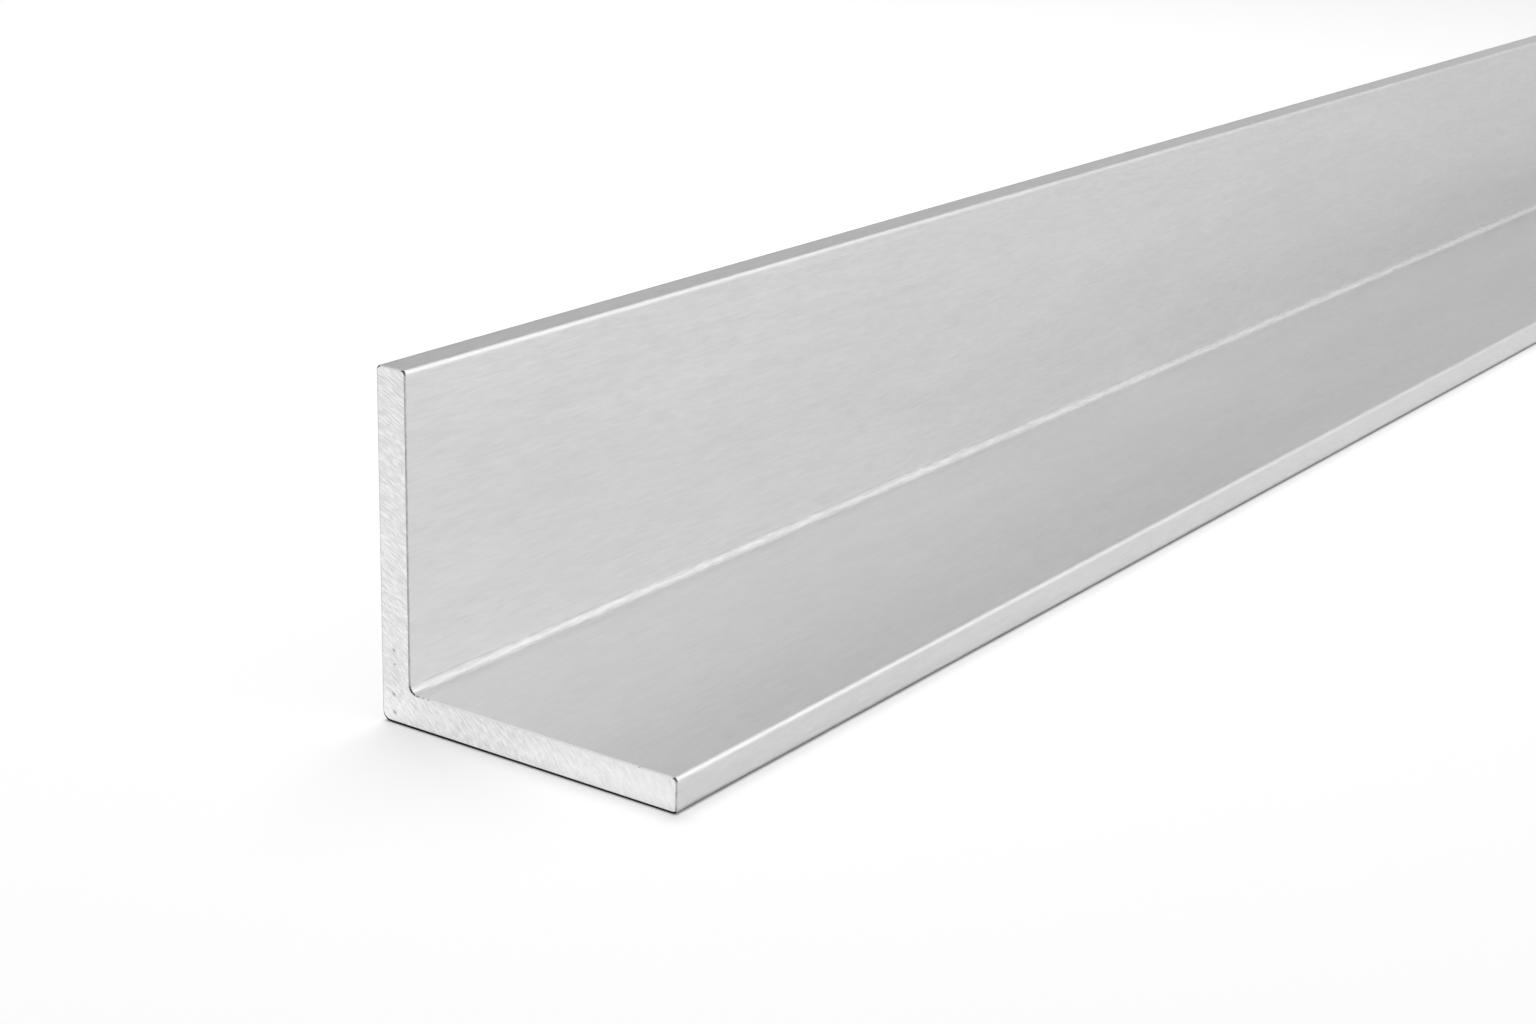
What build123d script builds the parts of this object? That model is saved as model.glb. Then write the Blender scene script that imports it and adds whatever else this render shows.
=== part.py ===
from build123d import *
import os

# Equal-leg angle: one extruded aluminium section, sawn square to length.
#
# The bar lies along X on the outer face of its foot, and its other leg stands up along the +Y side.
# The origin is under the middle of the length, half way across the foot, on the surface it lies on.
# All sizes are in millimetres.

length = 1000.0  # from sawn end to sawn end
leg_width = 50.0  # outer width of each leg, from the heel to the tip
leg_thickness = 5.0  # the same in both legs, with no taper
heel_radius = 1.4  # outer corner where the legs meet
root_radius = 1.2  # inner corner where the legs meet
tip_radius = 0.6  # the two long edges at the tip of each leg
saw_break = 0.2  # edge broken with a file all round each sawn end

heel_y = leg_width / 2
toe_y = heel_y - leg_width
inner_face_y = heel_y - leg_thickness
first_end = Plane.YZ.offset(-length / 2)  # its x runs along +Y, and its y runs up


with BuildPart() as angle_section:
    with BuildSketch(first_end) as section:
        with BuildLine():
            Polyline(
                (heel_y, 0),
                (heel_y, leg_width),
                (inner_face_y, leg_width),
                (inner_face_y, leg_thickness),
                (toe_y, leg_thickness),
                (toe_y, 0),
                close=True,
            )
        make_face()

        # A fillet renews the corners, so each is picked just before it is rounded.
        fillet(section.vertices().group_by(Axis.X)[0], tip_radius)
        fillet(section.vertices().group_by(Axis.Y)[-1], tip_radius)
        fillet(section.vertices().sort_by_distance((heel_y, 0))[0], heel_radius)
        fillet(section.vertices().sort_by_distance((inner_face_y, leg_thickness))[0], root_radius)
    extrude(amount=length)

    sawn_ends = angle_section.faces().filter_by(Axis.X)
    chamfer(sawn_ends.edges(), length=saw_break)

angle_section.part.label = "angle_section"

os.makedirs("parts", exist_ok=True)
export_step(angle_section.part, "parts/angle_section.step")
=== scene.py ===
"""The looks of a metal angle section: a sawn length of aluminium angle on a pale studio floor."""

import math

import bmesh
import bpy
import numpy as np
from bpy.props import FloatProperty, FloatVectorProperty, IntProperty, PointerProperty
from mathutils import Matrix, Vector, noise


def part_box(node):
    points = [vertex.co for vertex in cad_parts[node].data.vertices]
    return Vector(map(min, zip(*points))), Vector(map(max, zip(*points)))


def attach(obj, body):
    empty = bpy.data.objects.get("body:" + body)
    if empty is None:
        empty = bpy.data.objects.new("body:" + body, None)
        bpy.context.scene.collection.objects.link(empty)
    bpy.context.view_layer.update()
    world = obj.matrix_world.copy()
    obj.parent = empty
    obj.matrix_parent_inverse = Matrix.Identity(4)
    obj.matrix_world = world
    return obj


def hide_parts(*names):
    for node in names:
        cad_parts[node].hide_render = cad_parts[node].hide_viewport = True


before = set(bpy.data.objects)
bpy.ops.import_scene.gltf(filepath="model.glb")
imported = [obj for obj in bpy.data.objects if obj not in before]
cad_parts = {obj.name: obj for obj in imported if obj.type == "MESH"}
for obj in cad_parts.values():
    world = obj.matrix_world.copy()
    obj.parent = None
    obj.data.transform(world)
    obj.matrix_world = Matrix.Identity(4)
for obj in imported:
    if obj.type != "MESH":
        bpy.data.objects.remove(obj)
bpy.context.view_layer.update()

bl_info = {
    "name": "Aluminium Angle Section",
    "version": (1, 0, 0),
    "blender": (4, 5, 0),
    "location": "View3D > Sidebar > Angle Section",
    "description": "Models a sawn length of aluminium angle and the studio it is shown in",
    "category": "Add Mesh",
}

MM = 0.001  # one millimetre, in Blender's metres
NEAR = 0.00001  # closer than this counts as the same place
WHITE = (1.0, 1.0, 1.0)
bar_low, bar_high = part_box("angle_section")

Y_AXIS, Z_AXIS = 1, 2  # their places in a vector
SMOOTH_ANGLE = math.radians(20)  # edges sharper than this stay sharp

# The sawn ends.
COLLAR = 1.5 * MM  # length of the ruled strip behind each broken edge
SLIVER = 0.004 * MM  # edges shorter than this are closed up
BREAK_STEPS = 2  # flat strips in the broken edge
UNDER_BREAK = 0.16 * MM  # how much wider the broken edge is under the bar and round its heel
BREAK_FADE = 0.16 * MM  # how far in from the broken edge that widening dies away
EDGE_WANDER = 0.02 * MM  # how far the filed edge strays from a straight line
WANDER_WAVES, FINE_WAVES = 900, 3100  # long and short waves in the filed edge, for each metre
FINE_WANDER = 0.6  # height of the short waves, as a share of the long ones'
GROUP_PITCH = 3.1  # width of a group of deeper arcs, in arcs
GROUP_WAVES, ARC_WAVES = 4, 25  # how often a group and an arc change their depth, for each radian
GROUP_DEPTH, ARC_DEPTH = 0.35, 0.6  # how much each changes it, as shares of the full depth
PIT_DEPTH = 0.09 * MM  # in the middle of a pit
# The direction in which the blade's teeth crossed the near end: towards the toe and down.
TOOTH_Y, TOOTH_Z = -0.81, -0.59
# Small pits in the near sawn end, sunk into it and painted dark as painted shade: place across, place
# up, and size.
PITS = (
    (22.8 * MM, 10.6 * MM, 0.16 * MM),
    (22.7 * MM, 8.6 * MM, 0.12 * MM),
    (22.9 * MM, 4.2 * MM, 0.22 * MM),
    (22.8 * MM, 1.6 * MM, 0.2 * MM),
)
PIT_LONG, PIT_NARROW = 1.6, 0.7  # a pit's length and width, as shares of its size

# Die lines: how far from the other leg's face, and their share of the full depth.
FOOT_LINES = ((1.6 * MM, 1.0), (2.3 * MM, 0.7), (3.3 * MM, 0.5), (39.0 * MM, 0.5))
WALL_LINES = ((1.9 * MM, 0.6), (41.0 * MM, 0.6), (42.6 * MM, 0.8))
FACE_DEPTH = 0.05 * MM  # a face this close to a leg's flat belongs to it

# The patterns in the mill finish: how long, wide and high their spots are, and their share of the shade.
STROKES, STROKE_SHADE = (3 * MM, 0.24 * MM, 0.24 * MM), 0.62
MARKS, MARK_SHADE = (6 * MM, 0.6 * MM, 0.6 * MM), 0.22
BANDS, BAND_SHADE = (14 * MM, 2 * MM, 2 * MM), 0.13
LINES, LINE_SHADE = (160 * MM, 0.5 * MM, 0.5 * MM), 0.14
CLOUDS, CLOUD_SHADE = (50 * MM, 10 * MM, 10 * MM), 0.18
MILL_DARK, MILL_BRIGHT = 0.8, 1.2  # the ends of the shade, as shares of the finish's colour
MILL_RELIEF = 0.004 * MM  # height of the strokes
# The root's fillet is rougher and carries painted shade, darker on its wall side, which dims and shapes
# its highlight.
ROOT_SIZE = 1.02  # reach of the duller band in the root, as a share of the root's radius
ROOT_EDGE = 0.08 * MM  # width of that band's soft edge
ROOT_SLOPE = 0.7 * MM  # over this far, the band turns from bright at the foot to dull at the wall
ROOT_SHADE, WALL_SHADE, ROOT_MARK_SHADE = 0.06, 0.26, 0.6  # its darkening: all over, by the wall, in marks

# The patterns on the sawn ends. A scratch's sizes run out from the blade's centre, then round it as an
# angle, then into the bar.
BLADE_REACH = 117 * MM  # from the blade's centre to the near end
SCRATCHES = (0.16 * MM, 1.2 * MM / BLADE_REACH, 200 * MM)
BROAD_SCRATCHES = (0.5 * MM, 2.0 * MM / BLADE_REACH, 200 * MM)
PATCHES = (1.6 * MM, 1.6 * MM, 1.6 * MM)  # where the scratches are stronger
TORN_SPECKS = (0.35 * MM, 0.35 * MM, 0.35 * MM)
SCRATCH_SHADE, PATCH_SHADE, BROAD_SHADE = 2.4, 3.0, 0.1  # how strongly each changes the shade
TORN_BELOW, TORN_EDGE, TORN_SHADE = 0.36, 9.0, 0.25  # how common, sharp and dark the specks are
# The second value is painted light: it brightens the foot's end.
SAWN_SHADE, PAINTED_FOOT_LIGHT = 0.42, 0.3  # the shade between the scratches, and what the foot adds to it
SAWN_DARK, SAWN_BRIGHT = 0.82, 1.13  # the ends of the shade, as shares of the sawn metal's colour
SCRATCH_RELIEF = 0.008 * MM
CALM_FROM, CALM_OVER = 2 * MM, 14 * MM  # the scratches soften from here to the toe
# Painted light: the foot's end is painted brighter from here down.
BRIGHT_BELOW, BRIGHT_OVER = 6 * MM, 4 * MM  # the foot's end is brighter from here down
BURR_SPECKS = (0.7 * MM, 0.7 * MM, 0.7 * MM)

# How much burr and painted shade the filed edge carries, from 0 to 1: partly a dark burr, partly painted
# shade along the edge lines, and under the bar a painted contact shadow. Pairs are for the upright and
# for the foot.
UNDER_SHADE_AND_BURR = 1.0
ROUNDED_BURR_AND_SHADE = (0.75, 0.6)  # the rounded edges on the open side
INNER_BURR_AND_SHADE = (0.42, 0.4)  # the inner wall, and the toe
BACK_TOP_BURR_AND_SHADE, BACK_BURR_AND_SHADE = 0.7, 0.3
OTHER_BURR_AND_SHADE = 0.1

# The bar's own map, in shares of the map's width or height.
MAP_EDGE = 0.01  # margin round the map
MAP_LENGTH = 0.98  # the bar's length, along the map
MAP_AROUND = 0.87  # the section's outline, unrolled up the map
MAP_END_ROWS = (0.89, 0.932)  # the near and the far sawn end
MAP_UPRIGHT = 0.44  # where the upright strip of a sawn end starts
MAP_BREAK_ROWS = (0.975, 0.987)  # the near and the far broken edge
MAP_BREAK_HEIGHT = 0.006
MAP_END_SCALE = 7.6  # shares of the map for each metre of a sawn end
OUTLINE_SLACK = 2 * MM  # added to the unrolled outline, so that its ends don't meet
LEANING = 0.01  # a normal that leans by more than this faces that way
END_FACING = 0.93  # and one that leans by more than this along the bar is a sawn end's

# Each lamp and card: its place, its size, and the place it faces.
SOFT_BOX = ((-0.325, -0.375, 0.3), (0.75, 0.673), (-0.325, 0.0, -0.0375))
BACK_CARD = ((0.25, 0.385, 0.45), (2.1, 0.561), (0.25, 0.025, 0.02))
FLOOR_LAMP = ((-0.12, 0.33, 1.0), (0.7, 0.7), (-0.5, 0.0, 0.0))

FLOOR_SIZE = 14.0
SEEN_GAP = 0.5 * MM  # the floor stays dark in gaps narrower than this
MIRRORED_GAP = 0.7 * MM  # the same, where the metal mirrors the floor
SENSOR_WIDTH = 36  # millimetres, as the lens
CAMERA_PLACE = (-0.7454, -0.2067, 0.1405)
CAMERA_HEADING = -55.45  # degrees from looking along +Y, so towards +X
CAMERA_DIP = 18.13  # degrees below level
CAMERA_ROLL = 1.64  # degrees


# The sizes and colours that a user would change.


class AngleBarSizes(bpy.types.PropertyGroup):
    """Sizes of the angle bar"""

    length: FloatProperty(
        name="Length",
        description="From sawn end to sawn end",
        default=bar_high.x - bar_low.x,
        min=20 * MM,
        unit="LENGTH",
    )
    leg_width: FloatProperty(
        name="Leg width",
        description="Outer width of each leg, from the heel to the tip",
        default=bar_high.z - bar_low.z,
        min=10 * MM,
        unit="LENGTH",
    )
    leg_thickness: FloatProperty(
        name="Leg thickness",
        description="Thickness of both legs",
        default=5 * MM,
        min=3 * MM,
        unit="LENGTH",
    )
    heel_radius: FloatProperty(
        name="Heel radius",
        description="Rounding of the outer corner between the legs",
        default=1.4 * MM,
        unit="LENGTH",
    )
    root_radius: FloatProperty(
        name="Root radius",
        description="Rounding of the inner corner between the legs",
        default=1.2 * MM,
        unit="LENGTH",
    )
    tip_radius: FloatProperty(
        name="Tip radius",
        description="Rounding of the two long edges at the tip of each leg",
        default=0.6 * MM,
        unit="LENGTH",
    )
    saw_break: FloatProperty(
        name="Saw break",
        description="Width of the edge broken with a file round each sawn end",
        default=0.2 * MM,
        unit="LENGTH",
    )
    round_steps: IntProperty(
        name="Rounding steps",
        description="Flat strips in each rounded long edge",
        default=8,
        min=2,
        max=16,
    )
    grid_step: FloatProperty(
        name="Grid step",
        description="Side of the small squares that carry the saw marks on the sawn ends",
        default=0.2 * MM,
        min=0.1 * MM,
        unit="LENGTH",
    )
    saw_mark_pitch: FloatProperty(
        name="Saw mark pitch",
        description="Distance from one arc of the blade to the next",
        default=0.8 * MM,
        min=0.3 * MM,
        unit="LENGTH",
    )
    blade_y: FloatProperty(
        name="Blade centre across",
        description="Where the centre of the saw blade stood, across the bar",
        default=80 * MM,
        unit="LENGTH",
    )
    blade_z: FloatProperty(
        name="Blade centre up",
        description="Where the centre of the saw blade stood, above the bar's underside",
        default=-77 * MM,
        unit="LENGTH",
    )
    saw_mark_depth: FloatProperty(
        name="Saw mark depth",
        description="Depth of the deepest arcs that the blade left in the sawn ends",
        default=0.02 * MM,
        unit="LENGTH",
    )
    die_line_width: FloatProperty(
        name="Die line width",
        description="Width of the long fine lines that the die left in the legs",
        default=0.3 * MM,
        unit="LENGTH",
    )
    die_line_depth: FloatProperty(
        name="Die line depth",
        description="Depth of the long fine lines that the die left in the legs",
        default=0.012 * MM,
        unit="LENGTH",
    )


class AngleBarFinish(bpy.types.PropertyGroup):
    """Colours and gloss of the angle bar"""

    mill_colour: FloatVectorProperty(
        name="Mill finish",
        description="Colour of the extruded faces",
        subtype="COLOR",
        default=(0.566, 0.566, 0.567),
        min=0,
        max=1,
    )
    mill_roughness: FloatProperty(
        name="Mill roughness",
        description="Roughness of the extruded faces",
        subtype="FACTOR",
        default=0.52,
        min=0,
        max=1,
    )
    sawn_colour: FloatVectorProperty(
        name="Sawn metal",
        description="Colour of the bare metal on the sawn ends",
        subtype="COLOR",
        default=(0.84, 0.84, 0.84),
        min=0,
        max=1,
    )
    sawn_roughness: FloatProperty(
        name="Sawn roughness",
        description="Roughness of the sawn ends",
        subtype="FACTOR",
        default=0.5,
        min=0,
        max=1,
    )
    # Painted shade as well as burr: it darkens the filed edges, paints the contact shadow under the bar
    # and paints the pits dark.
    burr_and_shade_colour: FloatVectorProperty(
        name="Burr",
        description="Colour of the edge where the teeth left the metal",
        subtype="COLOR",
        default=(0.04, 0.04, 0.04),
        min=0,
        max=1,
    )


class AngleBarStage(bpy.types.PropertyGroup):
    """Floor, light and camera round the angle bar"""

    floor_colour: FloatVectorProperty(
        name="Floor colour",
        description="Colour of the floor",
        subtype="COLOR",
        default=(0.7, 0.7, 0.7),
        min=0,
        max=1,
    )
    room_light: FloatProperty(
        name="Room light",
        description="Strength of the even light from all round",
        default=0.5,
        min=0,
    )
    floor_lift: FloatProperty(
        name="Floor lift",
        description="Light added to the floor as it is seen, so that it reads as white",
        default=0.35,
        min=0,
    )
    box_power: FloatProperty(
        name="Soft box",
        description="Power of the large soft box that lights the metal from the open side",
        default=2.95,
        min=0,
        unit="POWER",
    )
    floor_power: FloatProperty(
        name="Floor lamp",
        description="Power of the lamp behind the bar that throws its shadow to the front",
        default=6.65,
        min=0,
        unit="POWER",
    )
    back_card_colour: FloatVectorProperty(
        name="Back card",
        description="Shade of the grey card behind the bar",
        subtype="COLOR",
        default=(0.53, 0.53, 0.53),
        min=0,
        max=1,
    )
    lens: FloatProperty(
        name="Lens",
        description="Focal length of the camera",
        default=62.0,
        min=10,
        unit="CAMERA",
    )


# Picking faces and edges, and shaping them.


def pick(bar, kind, test):
    """Selects only the edges or faces that pass the test."""
    bpy.ops.mesh.select_mode(type=kind)
    bpy.ops.mesh.select_all(action="DESELECT")
    shape = bmesh.from_edit_mesh(bar.data)
    for part in shape.edges if kind == "EDGE" else shape.faces:
        if test(part):
            part.select_set(True)
    bmesh.update_edit_mesh(bar.data)


def edge_at(y, z):
    """A test for the long edge at that place of the section."""

    def test(edge):
        return all(abs(v.co.y - y) < NEAR and abs(v.co.z - z) < NEAR for v in edge.verts)

    return test


def bevel(offset, steps):
    """Rounds the selected edges."""
    bpy.ops.mesh.bevel(
        offset=offset,
        segments=steps,
        profile=0.5,
        affect="EDGES",
        clamp_overlap=False,
    )


def round_edge(bar, y, z, radius, steps):
    """Rounds the long edge at that place of the section."""
    pick(bar, "EDGE", edge_at(y, z))
    bevel(radius, steps)


def model_section(sizes):
    """The plain square-edged angle: a foot, with the heel's strip drawn up into the other leg."""
    heel_y = sizes.leg_width / 2
    inner_y = heel_y - sizes.leg_thickness
    bpy.ops.object.select_all(action="DESELECT")
    bpy.ops.mesh.primitive_cube_add(
        size=1,
        location=(0, 0, sizes.leg_thickness / 2),
        scale=(sizes.length, sizes.leg_width, sizes.leg_thickness),
    )
    bar = bpy.context.active_object
    bar.name = "angle_bar"
    bar.data.name = "angle_bar"
    bpy.ops.object.transform_apply(location=True, rotation=True, scale=True)
    bpy.ops.object.mode_set(mode="EDIT")
    bpy.ops.mesh.select_all(action="SELECT")
    bpy.ops.mesh.bisect(plane_co=(0, inner_y, 0), plane_no=(0, 1, 0))
    pick(bar, "FACE", lambda f: f.normal.z > 0.9 and f.calc_center_median().y > inner_y)
    rise = (0, 0, sizes.leg_width - sizes.leg_thickness)
    bpy.ops.mesh.extrude_region_move(TRANSFORM_OT_translate={"value": rise})
    bpy.ops.mesh.select_all(action="SELECT")
    bpy.ops.mesh.dissolve_limited(angle_limit=math.radians(1))
    return bar


def round_long_edges(bar, sizes):
    """Rounds the heel, the root and the four tip edges."""
    heel_y = sizes.leg_width / 2
    inner_y = heel_y - sizes.leg_thickness
    top = sizes.leg_width
    foot_top = sizes.leg_thickness
    steps = sizes.round_steps
    round_edge(bar, heel_y, 0, sizes.heel_radius, steps)
    round_edge(bar, inner_y, foot_top, sizes.root_radius, steps)
    for y, z in ((heel_y, top), (inner_y, top), (-heel_y, foot_top), (-heel_y, 0)):
        round_edge(bar, y, z, sizes.tip_radius, steps)


def break_sawn_edges(bar, sizes):
    """Takes the sharpness off the edge all round both sawn ends."""
    half = sizes.length / 2
    pick(bar, "EDGE", lambda e: all(abs(abs(v.co.x) - half) < NEAR for v in e.verts))
    bevel(sizes.saw_break, BREAK_STEPS)


def rule_ends(bar, sizes):
    """Divides the sawn ends and a short collar behind each into small squares."""
    half = sizes.length / 2
    collar = half - sizes.saw_break - COLLAR
    for x in (collar, -collar):
        bpy.ops.mesh.select_all(action="SELECT")
        bpy.ops.mesh.bisect(plane_co=(x, 0, 0), plane_no=(1, 0, 0))
    pick(bar, "FACE", lambda f: abs(f.calc_center_median().x) > collar - NEAR)
    bpy.ops.mesh.hide(unselected=True)
    count = round(sizes.leg_width / sizes.grid_step)
    for i in range(1, count):
        across = i * sizes.leg_width / count
        bpy.ops.mesh.select_all(action="SELECT")
        bpy.ops.mesh.bisect(plane_co=(0, across - sizes.leg_width / 2, 0), plane_no=(0, 1, 0))
        bpy.ops.mesh.select_all(action="SELECT")
        bpy.ops.mesh.bisect(plane_co=(0, 0, across), plane_no=(0, 0, 1))
    bpy.ops.mesh.reveal(select=False)
    bpy.ops.mesh.select_all(action="SELECT")
    bpy.ops.mesh.dissolve_degenerate(threshold=SLIVER)


def vertex_places(mesh):
    """Every vertex's place, as an array with a row for each."""
    places = np.zeros(len(mesh.vertices) * 3, np.float32)
    mesh.vertices.foreach_get("co", places)
    return places.reshape(-1, 3)


def blade_arc(sizes, y, z):
    """How far a point of the sawn end is from the blade's centre, and its angle round that."""
    across = y - sizes.blade_y
    up = z - sizes.blade_z
    return math.hypot(across, up), math.atan2(up, across)


def saw_mark(sizes, side, y, z):
    """How deep the blade cut at a point of a sawn end, from 0 to 1. Each end has arcs of its own."""
    reach, angle = blade_arc(sizes, y, z)
    pitch = sizes.saw_mark_pitch
    broad = noise.noise(Vector((reach / (GROUP_PITCH * pitch), angle * GROUP_WAVES, side * 7.3)))
    fine = noise.noise(Vector((reach / pitch, angle * ARC_WAVES, side * 3.7 + 20)))
    return min(1.0, max(0.0, 0.5 + GROUP_DEPTH * broad + ARC_DEPTH * fine))


def pitted(y, z):
    """How deep a point of the near end lies in a small pit, from 0 to 1."""
    deepest = 0.0
    for pit_y, pit_z, size in PITS:
        along = ((y - pit_y) * TOOTH_Y + (z - pit_z) * TOOTH_Z) / (PIT_LONG * size)
        over = ((y - pit_y) * TOOTH_Z - (z - pit_z) * TOOTH_Y) / (PIT_NARROW * size)
        deepest = max(deepest, math.exp(-along * along - over * over))
    return deepest


def widen_break(sizes, y, z):
    """Moves a point of the sawn end in from the underside and heel, where the filed edge is wider."""
    heel_y = sizes.leg_width / 2 - sizes.heel_radius
    way = Vector((0, 1))
    deep = z - sizes.saw_break
    if y > heel_y:
        way = Vector((heel_y - y, sizes.heel_radius - z))
        deep = sizes.heel_radius - sizes.saw_break - way.length
        way.normalize()
    share = max(0.0, way.y) ** 0.5 * (0.85 + 0.3 * y / sizes.leg_width)
    moved = Vector((y, z)) + way * UNDER_BREAK * share * math.exp(-((deep / BREAK_FADE) ** 2))
    return moved.x, moved.y


def cut_saw_marks(bar, sizes):
    """Sinks the arcs of the blade into both sawn ends, and makes the filed edge a little uneven."""
    half = sizes.length / 2
    shoulder = half - sizes.saw_break
    places = vertex_places(bar.data)
    # a mask of the pits, which the sawn finish paints dark as painted shade
    painted_pit_shade = bar.data.attributes.new("pit_and_shade", "FLOAT", "POINT")
    for index, place in enumerate(places):
        x, y, z = (float(v) for v in place)
        side = 1 if x > 0 else -1
        if abs(x) > half - NEAR:
            pit_and_shade = pitted(y, z) if side < 0 else 0.0
            painted_pit_shade.data[index].value = pit_and_shade
            sunk = sizes.saw_mark_depth * saw_mark(sizes, side, y, z) + PIT_DEPTH * pit_and_shade
            place[0] = side * (half - sunk)
            place[1], place[2] = widen_break(sizes, y, z)
        elif abs(abs(x) - shoulder) < NEAR:
            wander = noise.noise(Vector((y * WANDER_WAVES, z * WANDER_WAVES, side * 5.0)))
            short = noise.noise(Vector((y * FINE_WAVES, z * FINE_WAVES, side * 9.0)))
            wander += FINE_WANDER * short
            place[0] = side * (shoulder + EDGE_WANDER * max(-1.0, min(1.0, wander)))
    low = (-half, -sizes.leg_width / 2, 0)
    high = (half, sizes.leg_width / 2, sizes.leg_width)
    bar.data.vertices.foreach_set("co", np.clip(places, low, high).ravel())
    bar.data.update()


def draw_die_lines(bar, sizes):
    """Scores the long fine lines that the die leaves, as shallow grooves along the legs."""
    heel_y = sizes.leg_width / 2
    inner_y = heel_y - sizes.leg_thickness
    width = sizes.die_line_width
    for gap, share in FOOT_LINES:
        sink = (0, 0, -share * sizes.die_line_depth)
        groove(bar, Y_AXIS, inner_y - gap, width, sink, sizes.leg_thickness)
    for gap, share in WALL_LINES:
        sink = (0, share * sizes.die_line_depth, 0)
        groove(bar, Z_AXIS, sizes.leg_thickness + gap, width, sink, inner_y)


def groove(bar, axis, place, width, sink, face_place):
    """Cuts one long face at three lines across that axis, and pushes the middle one in."""
    normal = [0, 0, 0]
    normal[axis] = 1
    other = Y_AXIS + Z_AXIS - axis

    def on_face(part):
        return all(abs(v.co[other] - face_place) < FACE_DEPTH for v in part.verts)

    for shift in (-width / 2, 0, width / 2):
        pick(bar, "FACE", lambda f: abs(f.normal.x) < 0.5 and on_face(f))
        point = [0, 0, 0]
        point[axis] = place + shift
        bpy.ops.mesh.bisect(plane_co=point, plane_no=normal)
    pick(bar, "EDGE", lambda e: on_face(e) and all(abs(v.co[axis] - place) < NEAR for v in e.verts))
    bpy.ops.transform.translate(value=sink)


def lay_flat(bar, sizes):
    """Gives the bar its own map: the section unrolled along the length, and the ends beside it."""
    mesh = bar.data
    half = sizes.length / 2
    inner_y = sizes.leg_width / 2 - sizes.leg_thickness
    shoulder = half - 1.5 * sizes.saw_break
    layer = mesh.uv_layers.new(name="OFBake")
    spots = np.zeros((len(mesh.loops), 2), np.float32)
    for face in mesh.polygons:
        x, y, z = face.center
        end = 1 if x > 0 else 0
        at_end = abs(x) > shoulder
        sawn = at_end and abs(face.normal.x) > END_FACING
        upright = y > inner_y and z > sizes.leg_thickness
        for loop in face.loop_indices:
            place = mesh.vertices[mesh.loops[loop].vertex_index].co
            if sawn:
                spots[loop] = end_spot(end, place, upright, sizes)
                continue
            walked = walk_round(sizes, place, face.normal)
            if at_end:
                depth = (half - abs(place.x)) / (2 * sizes.saw_break)
                up = MAP_BREAK_ROWS[end] + MAP_BREAK_HEIGHT * depth
                spots[loop] = (MAP_EDGE + MAP_LENGTH * walked, up)
            else:
                along = (place.x + half) / sizes.length
                spots[loop] = (MAP_EDGE + MAP_LENGTH * along, MAP_EDGE + MAP_AROUND * walked)
    layer.data.foreach_set("uv", spots.ravel())


def walk_round(sizes, place, normal):
    """How far round the section's outline a point lies, from 0 to 1, for the face it is on."""
    width = sizes.leg_width
    across = width / 2 - place.y
    if normal.z < -LEANING and normal.y < -LEANING:
        walk = 4 * width - place.z + (width - across)
    elif normal.z < -LEANING:
        walk = width + place.z - across
    elif normal.y > LEANING:
        walk = width + place.z + across
    else:
        walk = 2 * width + across + (width - place.z)
    return walk / (4 * width + OUTLINE_SLACK)


def end_spot(end, place, upright, sizes):
    """Where a point of a sawn end goes on the map: each leg is a strip of its own."""
    across = (sizes.leg_width / 2 - place.y) * MAP_END_SCALE
    up = place.z * MAP_END_SCALE
    if upright:
        return MAP_UPRIGHT + up, MAP_END_ROWS[end] + across
    return MAP_EDGE + across, MAP_END_ROWS[end] + up


def even_shading(bar):
    """Shades the flats flat and the rounded edges round."""
    bpy.ops.object.shade_smooth_by_angle(angle=SMOOTH_ANGLE)
    bar.modifiers.new("Even shading", "WEIGHTED_NORMAL").keep_sharp = True
    bpy.ops.object.modifier_apply(modifier="Even shading")


# Shader maths and nodes.


class Wire:
    """A node's output that takes Python's sums, so that a mask is written as a formula."""

    def __init__(self, maker, node, name):
        self.maker = maker
        self.node = node
        self.socket = maker.find(node.outputs, name)

    def sum(self, operation, *values):
        return self.maker.node("ShaderNodeMath", {"operation": operation}, dict(enumerate(values)))

    def __add__(self, other):
        return self.sum("ADD", self, other)

    __radd__ = __add__

    def __mul__(self, other):
        return self.sum("MULTIPLY", self, other)

    __rmul__ = __mul__

    def __sub__(self, other):
        return self.sum("SUBTRACT", self, other)

    def __rsub__(self, other):
        return self.sum("SUBTRACT", other, self)

    def __truediv__(self, other):
        return self.sum("DIVIDE", self, other)

    def __pow__(self, other):
        return self.sum("POWER", self, other)

    def limited(self):
        return self.sum("MINIMUM", self.sum("MAXIMUM", self, 0.0), 1.0)

    def at(self, name):
        """Another output of the same node."""
        return Wire(self.maker, self.node, name)


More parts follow.
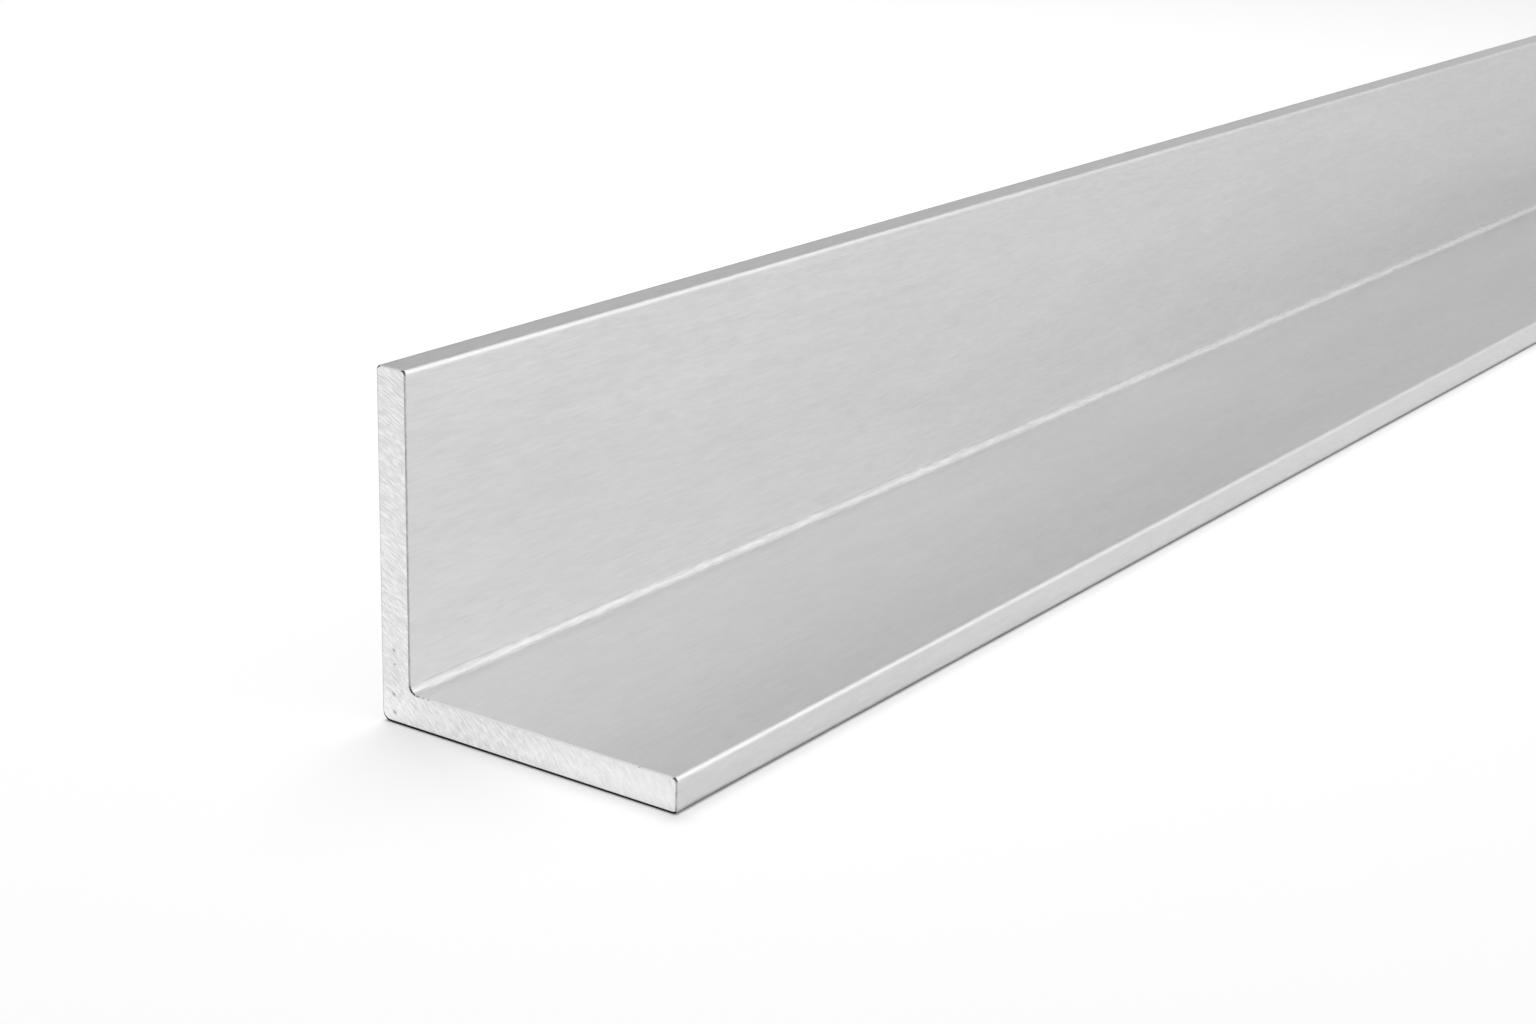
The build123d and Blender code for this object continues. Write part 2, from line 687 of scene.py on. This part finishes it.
class Maker:
    """The node tree of one finish, emptied and then filled one node at a time."""

    def __init__(self, owner):
        owner.use_nodes = True
        self.tree = owner.node_tree
        self.tree.nodes.clear()

    @staticmethod
    def find(sockets, name):
        if isinstance(name, int):
            return sockets[name]
        return next(s for s in sockets if s.enabled and s.name == name)

    def node(self, kind, settings=None, values=None, output=0):
        """Adds a node: first its settings, then the values or links of its sockets."""
        node = self.tree.nodes.new(kind)
        for name, value in (settings or {}).items():
            setattr(node, name, value)
        for name, value in (values or {}).items():
            socket = self.find(node.inputs, name)
            if isinstance(value, Wire):
                self.tree.links.new(value.socket, socket)
            else:
                socket.default_value = value
        return Wire(self, node, output) if node.outputs else node

    def mixed(self, share, first, second):
        """A colour between two colours."""
        values = {"Factor": share, "A": first, "B": second}
        return self.node("ShaderNodeMix", {"data_type": "RGBA"}, values, "Result")

    def grain(self, place, size, detail=2.0, rough=0.5, shift=(0, 0, 0)):
        """Noise whose spots are as long, wide and high as the size says, in metres."""
        scale = tuple(1 / s for s in size)
        values = {"Vector": place, "Location": shift, "Scale": scale}
        laid = self.node("ShaderNodeMapping", {}, values)
        values = {"Vector": laid, "Scale": 1.0, "Detail": detail, "Roughness": rough}
        return self.node("ShaderNodeTexNoise", {}, values, "Fac")

    def bump(self, height, relief):
        """Fine relief, from a height and the depth in metres of each step of one."""
        values = {"Strength": 1.0, "Distance": relief, "Height": height}
        return self.node("ShaderNodeBump", {}, values)

    def metal(self, values):
        """The metal surface that ends a finish."""
        surface = self.node("ShaderNodeBsdfPrincipled", {}, values)
        self.node("ShaderNodeOutputMaterial", {}, {"Surface": surface})


def plain(colour):
    """A colour as a socket takes it."""
    return (*colour, 1.0)


def darker(colour, share):
    """That share of a colour, as a socket takes it."""
    return (*(c * share for c in colour), 1.0)


def make_mill_finish(finish, sizes):
    """Extruded aluminium: fine short strokes and a few longer lines; the root's fillet is rougher and
    carries painted shade, darker on its wall side.
    """
    material = bpy.data.materials.new("mill_finish")
    maker = Maker(material)
    place = maker.node("ShaderNodeTexCoord", output="Object")
    parts = maker.node("ShaderNodeSeparateXYZ", {}, {"Vector": place}, "Y")
    from_wall = (sizes.leg_width / 2 - sizes.leg_thickness) - parts
    from_foot = parts.at("Z") - sizes.leg_thickness
    root = ((ROOT_SIZE * sizes.root_radius - from_wall - from_foot) / ROOT_EDGE).limited()
    wall_side = ((from_foot - from_wall) / ROOT_SLOPE + 0.3).limited()
    strokes = maker.grain(place, STROKES, detail=3.0, rough=0.6) - 0.5
    marks = maker.grain(place, MARKS, detail=2.0, shift=(2.0, 7.0, 4.0)) - 0.5
    bands = maker.grain(place, BANDS, detail=1.0, shift=(9.0, 1.0, 6.0)) - 0.5
    lines = maker.grain(place, LINES, detail=2.0, shift=(0, 31.0, 17.0)) - 0.5
    clouds = maker.grain(place, CLOUDS, detail=1.0, shift=(5.0, 3.0, 11.0)) - 0.5
    shade = 0.5 + STROKE_SHADE * strokes + MARK_SHADE * marks + BAND_SHADE * bands
    shade = shade + LINE_SHADE * lines + CLOUD_SHADE * clouds
    # Painted shade in the root's fillet, strongest on the wall side and in the marks.
    painted_root_shade = ROOT_SHADE + WALL_SHADE * wall_side + ROOT_MARK_SHADE * marks - strokes
    shade = (shade - root * painted_root_shade).limited()
    dark = darker(finish.mill_colour, MILL_DARK)
    bright = darker(finish.mill_colour, MILL_BRIGHT)
    maker.metal(
        {
            "Base Color": maker.mixed(shade, dark, bright),
            "Metallic": 1.0,
            "Roughness": finish.mill_roughness + 0.16 * strokes + 0.1 * lines + 0.1 * root,
            "Normal": maker.bump(strokes + 0.8 * marks + 0.6 * lines, MILL_RELIEF),
        }
    )
    return material


def make_sawn_finish(finish, sizes):
    """Freshly sawn aluminium: bright, with short fine scratches along the blade's arcs. The foot's end
    is painted brighter, as painted light, and the pits are painted dark, as painted shade.
    """
    material = bpy.data.materials.new("sawn_finish")
    maker = Maker(material)
    place = maker.node("ShaderNodeTexCoord", output="Object")
    parts = maker.node("ShaderNodeSeparateXYZ", {}, {"Vector": place}, "X")
    across = parts.at("Y") - sizes.blade_y
    up = parts.at("Z") - sizes.blade_z
    reach = (across * across + up * up) ** 0.5
    angle = across.sum("ARCTAN2", up, across)
    arc = maker.node("ShaderNodeCombineXYZ", {}, {"X": reach, "Y": angle, "Z": parts})
    fine = maker.grain(arc, SCRATCHES, detail=1.0) - 0.5
    broad = maker.grain(arc, BROAD_SCRATCHES, detail=1.0, shift=(3.0, 8.0, 1.0)) - 0.5
    patch = maker.grain(place, PATCHES, detail=2.0, shift=(1.0, 4.0, 2.0)) - 0.5
    specks = maker.grain(place, TORN_SPECKS, detail=1.0, shift=(6.0, 2.0, 5.0))
    torn = ((TORN_BELOW - specks) * TORN_EDGE).limited()
    calm = ((CALM_FROM - parts.at("Y")) / CALM_OVER).limited()
    # painted light: the foot's end is painted brighter towards the bottom
    low = ((BRIGHT_BELOW - parts.at("Z")) / BRIGHT_OVER).limited()
    streaks = (SCRATCH_SHADE + PATCH_SHADE * patch) * fine * (1.0 - 0.5 * calm)
    shade = SAWN_SHADE + PAINTED_FOOT_LIGHT * low + streaks + BROAD_SHADE * broad - TORN_SHADE * torn
    dark = darker(finish.sawn_colour, SAWN_DARK)
    bright = darker(finish.sawn_colour, SAWN_BRIGHT)
    clean = maker.mixed(shade.limited(), dark, bright)
    # painted shade: the pits are painted dark with the burr colour
    pit_and_shade = maker.node("ShaderNodeAttribute", {"attribute_name": "pit_and_shade"}, {}, "Fac")
    maker.metal(
        {
            "Base Color": maker.mixed(pit_and_shade.limited(), clean, plain(finish.burr_and_shade_colour)),
            "Metallic": 1.0,
            "Roughness": finish.sawn_roughness + 0.2 * fine,
            "Normal": maker.bump(fine, SCRATCH_RELIEF),
        }
    )
    return material


def make_filed_finish(finish):
    """The filed edge: bare metal, and a dark matt colour that is partly a burr where the teeth came out
    and partly painted shade, with a painted contact shadow under the bar.
    """
    material = bpy.data.materials.new("filed_finish")
    maker = Maker(material)
    place = maker.node("ShaderNodeTexCoord", output="Object")
    burr_and_shade = maker.node("ShaderNodeAttribute", {"attribute_name": "burr_and_shade"}, {}, "Fac")
    specks = maker.grain(place, BURR_SPECKS, detail=3.0, rough=0.7) - 0.5
    # share of the dark colour: burr and painted shade, broken up by specks
    share = (burr_and_shade + 2.0 * burr_and_shade * (1.0 - burr_and_shade) * specks).limited()
    maker.metal(
        {
            "Base Color": maker.mixed(share, plain(finish.sawn_colour), plain(finish.burr_and_shade_colour)),
            "Metallic": 1.0 - share,
            "Roughness": 0.5 + 0.4 * share,
            "Specular IOR Level": 0.0,
        }
    )
    return material


def burr_and_shade_share(face, foot_top):
    """How much burr and painted shade a filed edge carries, by the way it faces; most under the bar,
    where it is a painted contact shadow.
    """
    normal = face.normal
    upright = face.center.z > foot_top - NEAR
    # under the bar: a painted contact shadow, with the burr
    if normal.z < -0.3:
        return UNDER_SHADE_AND_BURR
    if normal.y < -0.3:
        open_side = ROUNDED_BURR_AND_SHADE if normal.z > 0.1 else INNER_BURR_AND_SHADE
        return open_side[0] if upright else open_side[1]
    if normal.y > 0.2:
        return BACK_TOP_BURR_AND_SHADE if normal.z > 0.2 else BACK_BURR_AND_SHADE
    return OTHER_BURR_AND_SHADE


def wear_finishes(bar, finish, sizes):
    """Gives the long faces, the sawn ends and the filed edges their own finish."""
    bar.data.materials.append(make_mill_finish(finish, sizes))
    bar.data.materials.append(make_sawn_finish(finish, sizes))
    bar.data.materials.append(make_filed_finish(finish))
    half = sizes.length / 2
    shoulder = half - sizes.saw_break - NEAR
    # the filed edges' burr and painted shade, set by the way each face turns
    burr_and_shade = bar.data.attributes.new("burr_and_shade", "FLOAT", "POINT")
    for face in bar.data.polygons:
        if abs(face.center.x) < shoulder:
            continue
        if abs(face.center.x) > half - NEAR:
            face.material_index = 1
            continue
        face.material_index = 2
        for index in face.vertices:
            value = burr_and_shade.data[index]
            value.value = max(value.value, burr_and_shade_share(face, sizes.leg_thickness))


# The studio.


def lay_floor(stage):
    """A wide pale floor that reads as white, and stays dark in the narrow gaps beside the bar."""
    bpy.ops.object.select_all(action="DESELECT")
    bpy.ops.mesh.primitive_plane_add(size=FLOOR_SIZE, location=(0, 0, 0))
    floor = bpy.context.active_object
    floor.name = "floor"
    material = bpy.data.materials.new("pale_floor")
    maker = Maker(material)
    path = maker.node("ShaderNodeLightPath", output="Is Camera Ray")
    gap = maker.node("ShaderNodeAmbientOcclusion", {"samples": 8}, {"Distance": SEEN_GAP}, "AO")
    hollow = maker.node("ShaderNodeAmbientOcclusion", {"samples": 8}, {"Distance": MIRRORED_GAP}, "AO")
    mirrored = path.at("Is Glossy Ray") + path.at("Is Transmission Ray")
    seen = (path * gap * gap + mirrored * hollow * hollow).limited()
    paint = maker.node("ShaderNodeBsdfDiffuse", {}, {"Color": plain(stage.floor_colour)})
    lift = maker.node("ShaderNodeEmission", {}, {"Color": plain(WHITE), "Strength": stage.floor_lift})
    lifted = maker.node("ShaderNodeAddShader", {}, {0: paint, 1: lift})
    both = maker.node("ShaderNodeMixShader", {}, {0: seen, 1: paint, 2: lifted})
    maker.node("ShaderNodeOutputMaterial", {}, {"Surface": both})
    floor.data.materials.append(material)


def light_room(scene, stage):
    """Even light from all round, and a white background where it is seen or mirrored."""
    scene.world = bpy.data.worlds.new("studio")
    maker = Maker(scene.world)
    path = maker.node("ShaderNodeLightPath", output="Is Camera Ray")
    seen = (path + path.at("Is Glossy Ray") + path.at("Is Transmission Ray")).limited()
    room = maker.node("ShaderNodeBackground", {}, {"Color": plain(WHITE), "Strength": stage.room_light})
    white = maker.node("ShaderNodeBackground", {}, {"Color": plain(WHITE), "Strength": 1.0})
    both = maker.node("ShaderNodeMixShader", {}, {0: seen, 1: room, 2: white})
    maker.node("ShaderNodeOutputWorld", {}, {"Surface": both})


def stand_card(name, place, size, facing, colour):
    """A grey card for the metal to mirror, turned to face a place. Only reflections show it."""
    bpy.ops.object.select_all(action="DESELECT")
    turn = (Vector(facing) - Vector(place)).to_track_quat("Z", "Y").to_euler()
    bpy.ops.mesh.primitive_plane_add(size=1, location=place, rotation=turn)
    card = bpy.context.active_object
    card.name = name
    card.scale = (*size, 1)
    material = bpy.data.materials.new(name)
    maker = Maker(material)
    shade = maker.node("ShaderNodeEmission", {}, {"Color": plain(colour), "Strength": 1.0})
    maker.node("ShaderNodeOutputMaterial", {}, {"Surface": shade})
    card.data.materials.append(material)
    card.visible_camera = False
    card.visible_diffuse = False
    card.visible_shadow = False
    card.visible_transmission = False


def hang_lamp(name, place, size, facing, power):
    """A soft rectangular lamp, turned to face a place."""
    turn = (Vector(place) - Vector(facing)).to_track_quat("Z", "Y").to_euler()
    bpy.ops.object.light_add(type="AREA", location=place, rotation=turn)
    lamp = bpy.context.active_object
    lamp.name = name
    lamp.data.shape = "RECTANGLE"
    lamp.data.size, lamp.data.size_y = size
    lamp.data.energy = power
    lamp.visible_camera = False
    return lamp


def place_camera(scene, stage):
    """The camera, close to the near end and looking along the bar."""
    heading = Matrix.Rotation(math.radians(CAMERA_HEADING), 4, "Z")
    tilt = Matrix.Rotation(math.radians(90 - CAMERA_DIP), 4, "X")
    roll = Matrix.Rotation(math.radians(CAMERA_ROLL), 4, "Z")
    turn = (heading @ tilt @ roll).to_euler()
    bpy.ops.object.camera_add(location=CAMERA_PLACE, rotation=turn)
    camera = bpy.context.active_object
    camera.name = "camera"
    camera.data.lens = stage.lens
    camera.data.sensor_width = SENSOR_WIDTH
    camera.data.clip_start = 0.01
    scene.camera = camera


# The operators, one for the bar and one for the stage, and the panel that lists them.


class AddAngleBar(bpy.types.Operator):
    """Model the sawn angle bar with its rounded edges, saw marks and finish"""

    bl_idname = "mesh.angle_bar_add"
    bl_label = "Angle Bar"
    bl_options = {"REGISTER", "UNDO"}

    def execute(self, context):
        sizes = context.scene.angle_bar_sizes
        bar = model_section(sizes)
        round_long_edges(bar, sizes)
        draw_die_lines(bar, sizes)
        break_sawn_edges(bar, sizes)
        rule_ends(bar, sizes)
        bpy.ops.object.mode_set(mode="OBJECT")
        lay_flat(bar, sizes)
        wear_finishes(bar, context.scene.angle_bar_finish, sizes)
        cut_saw_marks(bar, sizes)
        even_shading(bar)
        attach(bar, "root")
        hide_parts("angle_section")
        return {"FINISHED"}


class SetAngleBarStage(bpy.types.Operator):
    """Set the pale floor, the room light, the soft box, the floor lamp, the grey card and the camera"""

    bl_idname = "scene.angle_bar_stage"
    bl_label = "Studio"
    bl_options = {"REGISTER", "UNDO"}

    def execute(self, context):
        stage = context.scene.angle_bar_stage
        lay_floor(stage)
        light_room(context.scene, stage)
        stand_card("back_card", *BACK_CARD, stage.back_card_colour)
        soft_box = hang_lamp("soft_box", *SOFT_BOX, stage.box_power)
        soft_box.visible_diffuse = False
        floor_lamp = hang_lamp("floor_lamp", *FLOOR_LAMP, stage.floor_power)
        floor_lamp.visible_glossy = False
        place_camera(context.scene, stage)
        context.scene.view_settings.view_transform = "Standard"
        return {"FINISHED"}


class AngleBarPanel(bpy.types.Panel):
    """Sizes, finish and studio of the angle bar"""

    bl_idname = "VIEW3D_PT_angle_bar"
    bl_label = "Angle Section"
    bl_space_type = "VIEW_3D"
    bl_region_type = "UI"
    bl_category = "Angle Section"

    def draw(self, context):
        scene = context.scene
        for owner, operator in (
            (scene.angle_bar_sizes, None),
            (scene.angle_bar_finish, AddAngleBar.bl_idname),
            (scene.angle_bar_stage, SetAngleBarStage.bl_idname),
        ):
            column = self.layout.column(align=True)
            for name in owner.__annotations__:
                column.prop(owner, name)
            if operator:
                self.layout.operator(operator)


GROUPS = {
    "angle_bar_sizes": AngleBarSizes,
    "angle_bar_finish": AngleBarFinish,
    "angle_bar_stage": AngleBarStage,
}
CLASSES = (*GROUPS.values(), AddAngleBar, SetAngleBarStage, AngleBarPanel)


def register():
    for cls in CLASSES:
        bpy.utils.register_class(cls)
    for name, group in GROUPS.items():
        setattr(bpy.types.Scene, name, PointerProperty(type=group))


def unregister():
    for name in GROUPS:
        delattr(bpy.types.Scene, name)
    for cls in reversed(CLASSES):
        bpy.utils.unregister_class(cls)


def main():
    register()
    bpy.ops.mesh.angle_bar_add()
    bpy.ops.scene.angle_bar_stage()


if __name__ == "__main__":
    main()
